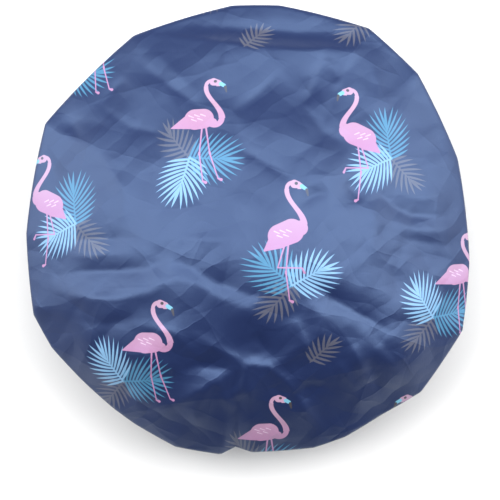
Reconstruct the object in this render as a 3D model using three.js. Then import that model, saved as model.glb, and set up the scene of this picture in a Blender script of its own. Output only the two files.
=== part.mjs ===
// Puffed shower cap: a printed outer shell and a waterproof lining, gathered on a sewn-in elastic.
// Millimetres, +Z up. The origin is the centre of the head opening, on the plane that the hem rests on.
// The crown faces +Z, and +Y is the side of the cap that is uppermost when it is worn.
import * as THREE from "three";

// Driving dimensions of the puffed cap
const crownRadius = 192; // from the axis to the pressed fold round the edge
const crownHeight = 138; // from the resting plane to the top of the crown
const foldHeight = 72; // from the resting plane to the pressed fold
const foldRadius = 5; // bend of the cloth in the pressed fold
const openingRadius = 88; // from the axis to the middle of the elastic
const hemHeight = 14; // height of the casing that holds the elastic

// Cloth
const shellThickness = 0.6;
const liningThickness = 0.5;
const layerGap = 0.35; // between shell and lining
const gathers = 22; // pleats that the elastic draws the cloth into
const gatherDepth = 7; // half the height of a pleat, half way up the underside
const gatherDepthAtFold = 1.2; // half the height of a pleat just under the pressed fold
const gatherDepthAtHem = 1; // half the height of a pleat inside the casing

// Casing, elastic and threads
const casingThickness = 0.6;
const casingChannelHalfWidth = 3; // from the middle of the elastic to the casing's wall
const casingMouthHeight = 9.4; // where the casing closes on the cloth, above the elastic
const casingShoulderHeight = 1; // over which the casing narrows to its mouth
const seatGap = 0.3; // between pieces that are sewn face to face
const clothEdgeHeight = 9.8; // lower edge of shell and lining inside the casing
const elasticWidth = 6.5;
const elasticThickness = 0.8;
const threadRadius = 0.3;
const hemStitchHeight = 12; // from the resting plane to the row of hem stitches
const hemStitchesPerGather = 4;
const hemStitchRise = 0.4; // how far the middle of a stitch stands off the cloth
const threadSides = 5;
const joinThreadRadius = 0.2;
const joinStitches = 6; // legs of the zigzag that closes the elastic
const joinEdgeMargin = 0.9; // from the zigzag to the elastic's edges
const joinThreadSides = 6;
const joinStepsPerStitch = 4;

// Shape of the meridian, as shares of the sizes above
const crownRingShares = [0.15, 0.3, 0.44, 0.56, 0.67, 0.77, 0.85, 0.93, 1]; // rings from axis to fold
const crownSwell = 2; // power of the crown's dome: 2 is a parabola
const crownLeanShare = 0.4; // how far the worn cap's crown sags away from +Y: 0 is an even dome
const crownFade = 8; // power by which the folds flatten out towards the pressed fold
const undersideSlope = THREE.MathUtils.degToRad(18); // fall of the underside where it leaves the fold
const undersideLeadShare = 0.55; // how long that slope lasts, of the underside's width
const undersideDropShare = 0.45; // how far above the casing the underside turns down, of its height
const undersideGatherShares = [0.6, 1, 0.85, 0.4]; // pleat depth on the underside's rings

// Corners of the pressed fold: angle from +X, and distance from the axis as a share of the crown radius
const foldCornerShares = [
  [19, 0.98],
  [43, 1.02],
  [59, 1.045],
  [88, 1],
  [120, 1],
  [152, 1.015],
  [181, 0.985],
  [203, 1.02],
  [222, 0.99],
  [251, 1.01],
  [268, 0.97],
  [286, 1.01],
  [306, 1.01],
  [317, 1.05],
  [335, 1.05],
  [352, 0.99],
];
const cornerBow = 0.3; // how far the stretches between corners bow out towards the circle

// Folds of the crown: first the broad ones (mounds, hollows and the tuck along the top), then the roll
// on the left, the edge that runs on across the middle, the valley and the ridge on the right, and the
// star of folds in the hollow below the middle. Place and reach are shares of the crown radius, turn is
// in degrees, and height is a share of the highest fold's.
const crownFoldHeight = 15;
const crownFoldShares = [
  { x: -0.635, y: -0.281, along: 0.333, across: 0.115, turn: -6, height: 0.17 },
  { x: -0.583, y: -0.552, along: 0.323, across: 0.188, turn: 0, height: 0.73 },
  { x: -0.031, y: -0.156, along: 0.385, across: 0.188, turn: -8, height: 0.13 },
  { x: 0.646, y: -0.333, along: 0.25, across: 0.125, turn: -24, height: 0.23 },
  { x: 0.646, y: -0.573, along: 0.25, across: 0.167, turn: -20, height: 1 },
  { x: 0.042, y: -0.583, along: 0.323, across: 0.219, turn: 0, height: -0.4 },
  { x: 0.094, y: 0.839, along: 0.5, across: 0.047, turn: 0, height: -0.37 },
  { x: 0.156, y: 0.573, along: 0.302, across: 0.156, turn: 8, height: -0.2 },
  { x: -0.5, y: 0.312, along: 0.271, across: 0.156, turn: -38, height: 0.13 },
  { x: -0.177, y: 0.115, along: 0.26, across: 0.135, turn: -46, height: -0.17 },
  { x: 0.333, y: 0.125, along: 0.271, across: 0.177, turn: 36, height: 0.13 },
  { x: 0.646, y: 0.177, along: 0.208, across: 0.135, turn: -20, height: -0.13 },
  { x: 0.177, y: 0.396, along: 0.177, across: 0.135, turn: 24, height: 0.13 },
  { x: -0.552, y: -0.297, along: 0.26, across: 0.052, turn: 0, height: 0.15 },
  { x: -0.562, y: -0.177, along: 0.281, across: 0.047, turn: 2, height: -0.17 },
  { x: -0.094, y: -0.208, along: 0.219, across: 0.073, turn: -22, height: -0.23 },
  { x: 0.453, y: -0.349, along: 0.198, across: 0.052, turn: -32, height: -0.27 },
  { x: 0.375, y: -0.479, along: 0.208, across: 0.078, turn: -56, height: 0.19 },
  { x: -0.24, y: -0.719, along: 0.24, across: 0.094, turn: 28, height: 0.31 },
  { x: -0.031, y: -0.646, along: 0.062, across: 0.125, turn: 0, height: 0.21 },
  { x: 0.177, y: -0.667, along: 0.24, across: 0.062, turn: -50, height: 0.2 },
  { x: -0.479, y: 0.427, along: 0.156, across: 0.094, turn: -15, height: 0.093 },
];

const columns = 2 * gathers;
const fullTurn = 2 * Math.PI;
const stackThickness = shellThickness + layerGap + liningThickness;
const shellEdgeRadius = openingRadius + (stackThickness - shellThickness) / 2;
const liningInset = (shellThickness + liningThickness) / 2 + layerGap;
const casingMouthHalfWidth = stackThickness / 2 + seatGap;

const printedCloth = new THREE.MeshStandardMaterial({ color: 0x3d4c7c, roughness: 0.42 });
const liningFilm = new THREE.MeshStandardMaterial({ color: 0xd9dde6, roughness: 0.5 });
const casingCloth = new THREE.MeshStandardMaterial({ color: 0x2c3a66, roughness: 0.55 });
const elasticYarn = new THREE.MeshStandardMaterial({ color: 0xf0f0ee, roughness: 0.85 });
const sewingThread = new THREE.MeshStandardMaterial({ color: 0x26325a, roughness: 0.7 });

function named(name, geometry, material) {
  const mesh = new THREE.Mesh(geometry, material);
  mesh.name = name;
  return mesh;
}

// Distance from the axis to the pressed fold at an angle, as a share of the crown radius:
// straight from corner to corner, bowed a little towards the circle.
function foldShare(angle) {
  const degrees = THREE.MathUtils.euclideanModulo(THREE.MathUtils.radToDeg(angle), 360);
  const found = foldCornerShares.findIndex(([corner]) => corner > degrees);
  const next = found < 0 ? 0 : found;
  const [before, shareBefore] = foldCornerShares.at(next - 1);
  const [after, shareAfter] = foldCornerShares[next];
  const span = THREE.MathUtils.euclideanModulo(after - before, 360);
  const gone = THREE.MathUtils.euclideanModulo(degrees - before, 360);
  const spanAngle = THREE.MathUtils.degToRad(span);
  const goneAngle = THREE.MathUtils.degToRad(gone);
  const across = shareBefore * Math.sin(goneAngle) + shareAfter * Math.sin(spanAngle - goneAngle);
  const straight = (shareBefore * shareAfter * Math.sin(spanAngle)) / across;
  const round = THREE.MathUtils.lerp(shareBefore, shareAfter, gone / span);
  return THREE.MathUtils.lerp(straight, round, cornerBow);
}

// Height that the folds add to the crown at a place given in shares of the crown radius.
function foldLift(x, y) {
  let lift = 0;
  for (const fold of crownFoldShares) {
    const place = new THREE.Vector2(x - fold.x, y - fold.y);
    place.rotateAround(new THREE.Vector2(), -THREE.MathUtils.degToRad(fold.turn));
    lift += fold.height * Math.exp(-((place.x / fold.along) ** 2) - (place.y / fold.across) ** 2);
  }
  return lift * crownFoldHeight;
}

// The middle of the shell from the top of the crown to its edge in the casing. Each station has its
// place, the direction that its outside faces, its pleat depth, and how much of the outline it follows.
function meridian() {
  const stations = [];
  const domeRadius = crownRadius - foldRadius;
  const rimSlope = Math.atan((crownSwell * (crownHeight - foldHeight)) / domeRadius);
  const foldCentre = new THREE.Vector2(
    domeRadius - foldRadius * Math.sin(rimSlope),
    foldHeight - foldRadius * Math.cos(rimSlope),
  );
  const add = (place, facing, depth, outline, lifted) =>
    stations.push({ place, facing, depth, outline, lifted });

  add(new THREE.Vector2(0, crownHeight), new THREE.Vector2(0, 1), 0, 0, 1);
  crownRingShares.forEach((share) => {
    const height = foldHeight + (crownHeight - foldHeight) * (1 - share ** crownSwell);
    const slope = rimSlope * share ** (crownSwell - 1);
    const facing = new THREE.Vector2(Math.sin(slope), Math.cos(slope));
    add(new THREE.Vector2(domeRadius * share, height), facing, 0, share ** 2, 1 - share ** crownFade);
  });

  const foldTurn = Math.PI - undersideSlope - rimSlope;
  for (const turned of [foldTurn / 2, foldTurn]) {
    const turn = rimSlope + turned;
    const facing = new THREE.Vector2(Math.sin(turn), Math.cos(turn));
    const depth = turned < foldTurn ? 0 : gatherDepthAtFold;
    add(foldCentre.clone().addScaledVector(facing, foldRadius), facing, depth, 1, 0);
  }

  const start = stations.at(-1).place;
  const end = new THREE.Vector2(shellEdgeRadius, hemHeight);
  const width = start.x - end.x;
  const lead = width * undersideLeadShare;
  const underside = new THREE.CubicBezierCurve(
    start,
    new THREE.Vector2(
      start.x - lead * Math.cos(undersideSlope),
      start.y - lead * Math.sin(undersideSlope),
    ),
    new THREE.Vector2(end.x, end.y + (start.y - end.y) * undersideDropShare),
    end,
  );
  undersideGatherShares.forEach((depthShare, ring) => {
    const share = (ring + 1) / (undersideGatherShares.length + 1);
    const along = underside.getTangent(share);
    const facing = new THREE.Vector2(-along.y, along.x);
    add(underside.getPoint(share), facing, gatherDepth * depthShare, (1 - share) ** 2, 0);
  });
  const outwards = new THREE.Vector2(1, 0);
  add(end, outwards, gatherDepthAtHem, 0, 0);
  add(new THREE.Vector2(shellEdgeRadius, clothEdgeHeight), outwards, gatherDepthAtHem, 0, 0);
  return stations;
}

// A point of the cloth: a station carried round to an angle, and set in from the shell's middle. The
// layers rise and sink together, so both take their lift and lean from the shell's middle.
function clothPoint(station, angle, inset) {
  const outline = THREE.MathUtils.lerp(1, foldShare(angle), station.outline);
  const pleat = station.depth * Math.cos(gathers * angle) - inset;
  const outwards = new THREE.Vector3(Math.cos(angle), Math.sin(angle), 0);
  const share = (station.place.x * outline) / crownRadius;
  const lift = station.lifted * foldLift(share * outwards.x, share * outwards.y);
  const lean = crownLeanShare * share * outwards.y * Math.max(0, station.place.y - foldHeight);
  const radius = station.place.x * outline + station.facing.x * pleat;
  return outwards.multiplyScalar(radius).setZ(station.place.y + station.facing.y * pleat + lift - lean);
}

// A layer of cloth of a given thickness: its outside and its inside, joined round the edge that is
// sewn into the casing. Both sides are divided into triangles alike, so that layers lie parallel.
function clothLayer(inset, thickness) {
  const stations = meridian();
  const points = [];
  const index = [];
  const at = (side, ring, column) =>
    side * stride + (ring ? 1 + (ring - 1) * columns + (column % columns) : 0);
  const stride = 1 + (stations.length - 1) * columns;
  for (const side of [-1, 1]) {
    stations.forEach((station, ring) => {
      for (let column = 0; column < (ring ? columns : 1); column++) {
        const angle = (column / columns) * fullTurn;
        points.push(clothPoint(station, angle, inset + (side * thickness) / 2));
      }
    });
  }
  const add = (side, a, b, c) => index.push(...(side ? [a, c, b] : [a, b, c]));
  for (const side of [0, 1]) {
    for (let column = 0; column < columns; column++) {
      add(side, at(side, 0, 0), at(side, 1, column), at(side, 1, column + 1));
      for (let ring = 1; ring < stations.length - 1; ring++) {
        const a = at(side, ring, column);
        const b = at(side, ring + 1, column);
        const c = at(side, ring + 1, column + 1);
        const d = at(side, ring, column + 1);
        if (column % 2) {
          add(side, a, b, d);
          add(side, b, c, d);
        } else {
          add(side, a, b, c);
          add(side, a, c, d);
        }
      }
    }
  }
  const edge = stations.length - 1;
  for (let column = 0; column < columns; column++) {
    const a = at(0, edge, column);
    const b = at(1, edge, column);
    const c = at(1, edge, column + 1);
    const d = at(0, edge, column + 1);
    index.push(a, b, c, a, c, d);
  }
  const layer = new THREE.BufferGeometry().setFromPoints(points);
  layer.setIndex(index);
  return layer;
}

// The gathered hem tape: a U in section, wide round the elastic and closed on the cloth at its mouth.
function casing() {
  const shoulder = casingMouthHeight - casingShoulderHeight;
  const channel = casingChannelHalfWidth;
  const mouth = casingMouthHalfWidth;
  const wall = casingThickness;
  const outside = [
    [channel + wall, 0],
    [channel + wall, shoulder],
    [mouth + wall, casingMouthHeight],
    [mouth + wall, hemHeight],
    [mouth, hemHeight],
    [mouth, casingMouthHeight],
    [channel, shoulder],
    [channel, wall],
  ];
  const inside = outside.toReversed().map(([offset, height]) => [-offset, height]);
  const section = [...outside, ...inside, outside[0]];
  const profile = section.map(([offset, height]) => new THREE.Vector2(openingRadius + offset, height));
  const tape = new THREE.LatheGeometry(profile, columns);
  const positions = tape.getAttribute("position");
  for (let i = 0; i < positions.count; i++) {
    const { x: radius, y: height } = profile[i % profile.length];
    const angle = (Math.floor(i / profile.length) / columns) * fullTurn;
    const waved = radius + gatherDepthAtHem * Math.cos(gathers * angle);
    positions.setXYZ(i, waved * Math.cos(angle), waved * Math.sin(angle), height);
  }
  return tape;
}

// Joins rings of points into one closed surface. The last ring meets the first, or both ends are capped.
function surfaceThrough(rings, endsMeet) {
  const sides = rings[0].length;
  const index = [];
  const bands = endsMeet ? rings.length : rings.length - 1;
  for (let ring = 0; ring < bands; ring++) {
    const after = (ring + 1) % rings.length;
    for (let side = 0; side < sides; side++) {
      const next = (side + 1) % sides;
      const a = ring * sides + side;
      const b = ring * sides + next;
      const c = after * sides + next;
      const d = after * sides + side;
      index.push(a, b, c, a, c, d);
    }
  }
  if (!endsMeet) {
    const last = (rings.length - 1) * sides;
    for (let side = 1; side < sides - 1; side++) {
      index.push(0, side + 1, side, last, last + side, last + side + 1);
    }
  }
  const surface = new THREE.BufferGeometry().setFromPoints(rings.flat());
  surface.setIndex(index);
  return surface;
}

// The elastic runs once round and laps over its own start by one facet of the hem.
const elasticTurn = fullTurn * (1 + 1 / columns);
const elasticBottom = casingThickness + seatGap;

function elasticMiddle(angle) {
  return openingRadius + ((angle - elasticTurn / 2) / fullTurn) * (elasticThickness + seatGap);
}

function elastic() {
  const rings = [];
  for (let column = 0; column <= columns + 1; column++) {
    const angle = (column / columns) * fullTurn;
    const outwards = new THREE.Vector3(Math.cos(angle), Math.sin(angle), 0);
    const inner = elasticMiddle(angle) - elasticThickness / 2;
    const outer = elasticMiddle(angle) + elasticThickness / 2;
    const top = elasticBottom + elasticWidth;
    const corners = [
      [inner, elasticBottom],
      [inner, top],
      [outer, top],
      [outer, elasticBottom],
    ];
    rings.push(corners.map(([radius, height]) => outwards.clone().multiplyScalar(radius).setZ(height)));
  }
  return surfaceThrough(rings, false);
}

// Zigzag that closes the elastic, on the outside of the lap.
function joinThread() {
  const lapStart = fullTurn;
  const standOff = elasticThickness / 2 + seatGap + joinThreadRadius;
  const ends = [lapStart, elasticTurn].map((angle) => {
    const radius = elasticMiddle(angle) + standOff;
    return new THREE.Vector3(radius * Math.cos(angle), radius * Math.sin(angle), 0);
  });
  const lap = ends[0].distanceTo(ends[1]);
  const points = [];
  for (let leg = 0; leg <= joinStitches; leg++) {
    const margin = joinEdgeMargin / lap;
    const share = THREE.MathUtils.lerp(margin, 1 - margin, leg / joinStitches);
    const low = elasticBottom + joinEdgeMargin;
    const high = elasticBottom + elasticWidth - joinEdgeMargin;
    points.push(ends[0].clone().lerp(ends[1], share).setZ(leg % 2 ? high : low));
  }
  const section = new THREE.Shape();
  for (let side = 0; side < joinThreadSides; side++) {
    const angle = (side / joinThreadSides) * fullTurn;
    const x = joinThreadRadius * Math.cos(angle);
    const y = joinThreadRadius * Math.sin(angle);
    if (side) section.lineTo(x, y);
    else section.moveTo(x, y);
  }
  section.closePath();
  const path = new THREE.CatmullRomCurve3(points, false, "catmullrom", 0.3);
  const steps = joinStitches * joinStepsPerStitch;
  return new THREE.ExtrudeGeometry(section, { steps, extrudePath: path });
}

// A row of hem stitches, on the outer face of the casing or on its inner face. It follows the
// casing's facets, dips to the cloth at each needle hole and stands off it in between.
function hemThread(side) {
  const wallFace = openingRadius + side * (casingMouthHalfWidth + casingThickness);
  const stand = seatGap + threadRadius;
  const pointsPerColumn = hemStitchesPerGather;
  const rings = [];
  for (let column = 0; column < columns; column++) {
    const corners = [column, column + 1].map((at) => {
      const angle = (at / columns) * fullTurn;
      const radius = wallFace + gatherDepthAtHem * Math.cos(gathers * angle);
      return new THREE.Vector3(radius * Math.cos(angle), radius * Math.sin(angle), hemStitchHeight);
    });
    for (let step = 0; step < pointsPerColumn; step++) {
      const onFace = corners[0].clone().lerp(corners[1], step / pointsPerColumn);
      const outwards = new THREE.Vector3(onFace.x, onFace.y, 0).normalize();
      const rise = step % 2 ? hemStitchRise : 0;
      const middle = onFace.addScaledVector(outwards, side * (stand + rise));
      const ring = [];
      for (let corner = 0; corner < threadSides; corner++) {
        const turn = (corner / threadSides) * fullTurn;
        const point = middle.clone().addScaledVector(outwards, threadRadius * Math.sin(turn));
        point.z += threadRadius * Math.cos(turn);
        ring.push(point);
      }
      rings.push(ring);
    }
  }
  return surfaceThrough(rings, true);
}

const cap = new THREE.Group();
cap.add(
  named("outer_shell", clothLayer(0, shellThickness), printedCloth),
  named("inner_lining", clothLayer(liningInset, liningThickness), liningFilm),
  named("hem_casing", casing(), casingCloth),
  named("elastic_band", elastic(), elasticYarn),
  named("elastic_join_thread", joinThread(), sewingThread),
  named("hem_needle_thread", hemThread(1), sewingThread),
  named("hem_bobbin_thread", hemThread(-1), sewingThread),
);

export default cap;
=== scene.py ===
import math

import bpy
import numpy as np
from mathutils import Matrix, Vector


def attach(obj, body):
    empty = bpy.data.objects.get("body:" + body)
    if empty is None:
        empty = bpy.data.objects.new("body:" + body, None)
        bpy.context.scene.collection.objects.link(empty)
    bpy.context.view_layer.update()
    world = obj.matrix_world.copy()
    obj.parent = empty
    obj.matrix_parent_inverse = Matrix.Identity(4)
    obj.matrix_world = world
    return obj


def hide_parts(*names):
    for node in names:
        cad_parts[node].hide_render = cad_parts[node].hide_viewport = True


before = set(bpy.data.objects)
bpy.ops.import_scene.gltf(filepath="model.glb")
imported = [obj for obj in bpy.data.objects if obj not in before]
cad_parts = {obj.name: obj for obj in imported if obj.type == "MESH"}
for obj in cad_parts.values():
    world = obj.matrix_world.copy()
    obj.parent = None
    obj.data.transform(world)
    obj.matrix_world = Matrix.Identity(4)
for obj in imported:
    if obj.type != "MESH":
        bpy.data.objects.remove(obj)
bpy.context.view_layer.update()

# Sizes of the cap in metres, as in the frame. The lean, the lead and the drop are shares.

CROWN_RADIUS = 0.192
CROWN_HEIGHT = 0.138
CROWN_LEAN = 0.4
FOLD_HEIGHT = 0.072
FOLD_RADIUS = 0.003
HEM_HEIGHT = 0.014
CLOTH_EDGE = 0.0098
OPENING_RADIUS = 0.088
EDGE_RADIUS = 0.08845
UNDERSIDE_SLOPE = math.radians(18)
UNDERSIDE_LEAD = 0.55
UNDERSIDE_DROP = 0.45
MM = 0.001

# Cloth: each layer is a closed sheet. The lining's middle lies LINING_INSET inside the shell's. A UV
# square of FLAT_SPAN holds the flat cut circle.

SHELL_THICKNESS = 0.4 * MM
LINING_THICKNESS = 0.3 * MM
LINING_INSET = 1.0 * MM
FLAT_SPAN = 0.7

# Mesh of the cloth: points along the form on the crown, the fold, the underside and in the casing, then
# the columns round the cap, which double as the rings widen and again from a share of the underside on,
# and the number of rings

FORM_POINTS = (400, 60, 300, 20)
CLOTH_CELL = 2.5 * MM
WIDEST_CELL = 1.25 * CLOTH_CELL
FIRST_COLUMNS = 27
MOST_COLUMNS = 432
HEM_COLUMNS = 864
HEM_COLUMNS_FROM = 0.4
FOLD_RINGS = 6
UNDERSIDE_RINGS = 35
CASING_RINGS = 4

# Seeds of the random draws

CREASE_SEED = 7
HEM_SEED = 3
GATHER_SEED = 21
PUCKER_SEED = 5

# Corners of the pressed fold: degrees from +X, and share of the crown radius

FOLD_CORNERS = [
    (18.8, 0.982), (42.6, 1.023), (59, 1.043), (82, 1.006), (94, 0.998), (120.4, 1.0),
    (152.3, 1.015), (181, 0.983), (201.5, 1.022), (211, 1.014), (222, 0.992), (232.8, 0.99),
    (239.7, 0.995), (251.5, 1.013), (263, 1.002), (266.7, 0.962), (271, 0.985), (286.8, 1.008),
    (295.2, 1.013), (305.8, 1.01), (316.9, 1.05), (334.9, 1.05), (352.3, 0.991),
]
CORNER_BOW = 0.3

# Gathers of the underside: how many, and how far they stand out. A spread, a shift and an early start
# are random waves round the cap, each given by its number of waves plus one and its height.

MAIN_GATHERS = 22
MAIN_SHIFT = (12, 0.025)
MAIN_DEPTH = 6.5 * MM
MAIN_DEPTH_SPREAD = (20, 2.5 * MM)
SMALL_GATHERS = 72
SMALL_SHIFT = (40, 0.02)
SMALL_DEPTH = 3.4 * MM
SMALL_DEPTH_SPREAD = (40, 1.2 * MM)
HEM_WAVE = 0.7 * MM
HEM_SHIFT = (30, 0.006)

# Where the gathers grow, fade and meet the casing, as shares of the way from the fold to the casing.
# MAIN_LOSS is the share of their height that the main ones lose as they fade.

MAIN_ONSET = 0.12
MAIN_EARLY = (30, 0.12)
MAIN_GROWTH = 0.5
MAIN_FADE = (0.6, 0.95)
MAIN_LOSS = 0.75
SMALL_EARLY = (40, 0.2)
SMALL_ONSET = 0.28
SMALL_FULL = 0.88
CASING_ONSET = 0.86
FOLD_ONSET = 0.04

# Casing and thread

TAPE_THICKNESS = 0.5 * MM
TAPE_HALF_SECTION = [
    # distance outwards from the elastic, and height above the resting plane, in millimetres
    (0, 0.27), (1.4, 0.3), (2.4, 0.5), (2.95, 1.0), (3.2, 2.0), (3.3, 3.4), (3.3, 5.2), (3.2, 6.8),
    (2.7, 8.1), (1.9, 8.9), (1.35, 9.7), (1.25, 10.8), (1.25, 12.0), (1.27, 13.2), (1.3, 13.9),
]
MOUTH_HEIGHT = 9.4 * MM
MOUTH_OFFSET = 1.25 * MM
PUCKERS = 144
PUCKER_DEPTH = 0.3 * MM
PUCKER_SHIFT = (60, 0.012)
PUCKER_SPREAD = (50, 0.8)
STITCH_HEIGHT = 12 * MM
STITCH_PITCH = 3 * MM
STITCH_LENGTH = 2.5 * MM
STITCH_REACH = 0.4
THREAD_RADIUS = 0.2 * MM
THREAD_PROUD = 0.3

# Creases of the crown, seen from above with +Y uppermost. Each has its points, its height, and its
# width to the left and to the right of its run, all in millimetres. A negative height is a valley.

CREASES = [
    # the roll on the left
    ([(-164, -50), (-138, -56), (-106, -57), (-80, -51), (-60, -40)], 3.0, 10, 9),
    ([(-166, -40), (-138, -35), (-84, -33), (-64, -24)], -3.4, 9, 8),
    ([(-150, -74), (-118, -78), (-92, -73)], -2.2, 10, 10),
    ([(-156, -12), (-120, -8), (-90, -8)], -2.6, 9, 8),
    ([(-150, -22), (-114, -20), (-92, -20)], 1.6, 8, 8),
    # the edge that runs on from it across the middle, down to the right
    ([(-64, -24), (-44, -32), (-26, -43), (4, -54), (26, -57)], -4.0, 24, 8),
    ([(-66, -36), (-42, -44), (-22, -56), (8, -68)], 2.0, 7, 12),
    ([(46, -58), (66, -74), (84, -96), (98, -118)], 2.2, 8, 16),
    ([(54, -48), (78, -62), (100, -74), (118, -84)], -4.2, 10, 8),
    ([(56, -66), (62, -90), (58, -104)], 2.0, 7, 9),
    ([(84, -94), (92, -112), (97, -130)], 2.8, 6, 8),
    ([(98, -104), (104, -122), (112, -136)], -2.2, 6, 6),
    ([(-70, -8), (-12, -9)], 1.4, 10, 6),
    # the star in the hollow below the middle
    ([(-46, -84), (-24, -98), (0, -110), (17, -112), (30, -123), (70, -178)], 3.2, 5, 6),
    ([(0, -108), (-5, -131), (-13, -137)], 3.4, 5, 4),
    ([(-1, -110), (-52, -139), (-76, -153)], 5.0, 10, 14),
    ([(-30, -128), (-44, -150), (-42, -172)], 3.2, 6, 7),
    ([(-90, -78), (-60, -84), (-44, -100)], 2.2, 8, 6),
    ([(20, -112), (40, -98), (52, -92)], 2.6, 6, 7),
    ([(36, -70), (44, -88), (50, -102)], 2.4, 4, 7),
    ([(6, -84), (14, -98), (2, -106)], -2.6, 6, 6),
    ([(-62, -116), (-36, -112), (-12, -116)], -2.6, 7, 6),
    ([(-24, -122), (-20, -138), (-10, -150)], 2.4, 6, 4),
    ([(34, -140), (52, -128), (70, -132)], -2.4, 7, 6),
    ([(74, -108), (82, -122), (92, -134)], 2.2, 4, 7),
    # creases of the upper half
    ([(-96, 144), (-63, 118), (-36, 98)], -2.4, 8, 8),
    ([(-102, 128), (-113, 116), (-127, 102)], -3.0, 8, 6),
    ([(-126, 104), (-96, 84), (-66, 78)], -1.8, 8, 7),
    ([(-154, 97), (-141, 77)], -3.0, 6, 6),
    ([(-177, 74), (-166, 56), (-157, 37)], -3.2, 7, 8),
    ([(28, 133), (8, 112), (-12, 95)], -2.8, 10, 8),
    ([(-12, 95), (-2, 60), (-10, 22)], -1.6, 8, 9),
    ([(67, 144), (76, 124)], -2.4, 5, 7),
    ([(66, 146), (55, 118), (46, 102)], -3.2, 9, 7),
    ([(46, 102), (62, 80), (84, 70)], -1.8, 7, 8),
    ([(-6, 66), (16, 54), (35, 41)], -3.2, 8, 6),
    ([(100, 150), (110, 120), (104, 96)], 2.2, 10, 9),
    ([(-120, 60), (-100, 30), (-104, 6)], 2.2, 12, 9),
    # creases of the right side
    ([(41, 20), (54, 28), (66, 30)], -2.4, 7, 7),
    ([(80, 40), (88, 30), (92, 22)], -3.0, 7, 7),
    ([(104, 33), (118, 20), (134, 12), (182, 9)], -3.4, 8, 9),
    ([(120, 30), (146, 26), (174, 34)], 2.4, 9, 8),
    ([(118, 8), (140, 0), (178, -2)], 2.2, 8, 8),
    ([(124, -6), (150, -11), (178, -14)], -2.2, 8, 8),
    ([(98, 24), (106, 4), (98, -20)], 2.0, 9, 8),
    ([(128, -14), (120, -34), (126, -60)], -1.6, 9, 9),
    ([(164, 60), (182, 66)], 2.2, 6, 5),
    ([(150, -34), (176, -52)], 2.0, 7, 7),
    # the tuck along the top
    ([(-108, 168), (-59, 161), (-4, 155), (41, 151), (102, 151), (130, 155)], 6.0, 7, 22),
    ([(-100, 176), (-56, 173), (-4, 170), (41, 167), (96, 167), (124, 170)], -3.5, 10, 8),
]

# How blunt a crest is, and how far to each side its left width turns into its right one, both in
# millimetres, then the share of its run at each end where the taper stops, and the taper's power

CREST_BEND = 1.3
CREST_TURN = 1.5
CREASE_END = 0.02
CREASE_TAPER = 0.6

# Broad folds of the crown: the middle, the reach along and across, the turn in degrees, and the height

BROAD_FOLDS = [
    (-122, -54, 64, 22, -6, 2.5),
    (-112, -106, 62, 36, 0, 11.0),
    (-6, -30, 74, 36, -8, 2.0),
    (124, -64, 48, 24, -24, 3.5),
    (124, -110, 48, 32, -20, 15.0),
    (8, -112, 62, 42, 0, -6.0),
    (18, 163, 96, 10, 0, -3.0),
    (30, 110, 58, 30, 8, -3.0),
    (-96, 60, 52, 30, -38, 1.0),
    (-34, 22, 50, 26, -46, -2.5),
    (64, 24, 52, 34, 36, 2.0),
    (124, 34, 40, 26, -20, -2.0),
    (34, 76, 34, 26, 24, 2.0),
]

# Folds between the creases: how far apart they run and how high they stand, in millimetres. They bend
# by a share of that distance, at a rate in radians for each such distance along them, and show in
# patches that come and go at two more such rates.

CRUMPLES = [(76, 1.1), (47, 0.7)]
CRUMPLE_DIRECTIONS = 3
CRUMPLE_BENDS = [(0.2, 0.9), (0.2, 0.37)]
CRUMPLE_PATCH = (0.61, 0.55)

# Creases that run in from the corners of the pressed fold: the least and the greatest share of the crown
# radius that they cross, their lean in radians, and their height and width in millimetres

CORNER_REACH = (0.25, 0.5)
CORNER_LEAN = 0.16
CORNER_CREASE_HEIGHT = (0.8, 1.8)
CORNER_CREASE_WIDTH = 6

# The power with which all relief fades out towards the pressed fold

RELIEF_FADE = 8

# Fine creases in the cloth's relief: direction in radians, spacing, height and patch size in millimetres

CLOTH_CREASES = [
    (0.4, 60, 0.7, 70), (-0.75, 50, 0.6, 60), (1.35, 56, 0.7, 70), (-1.2, 31, 0.5, 50),
    (0.9, 25, 0.5, 44),
]


# The cap's form


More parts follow.
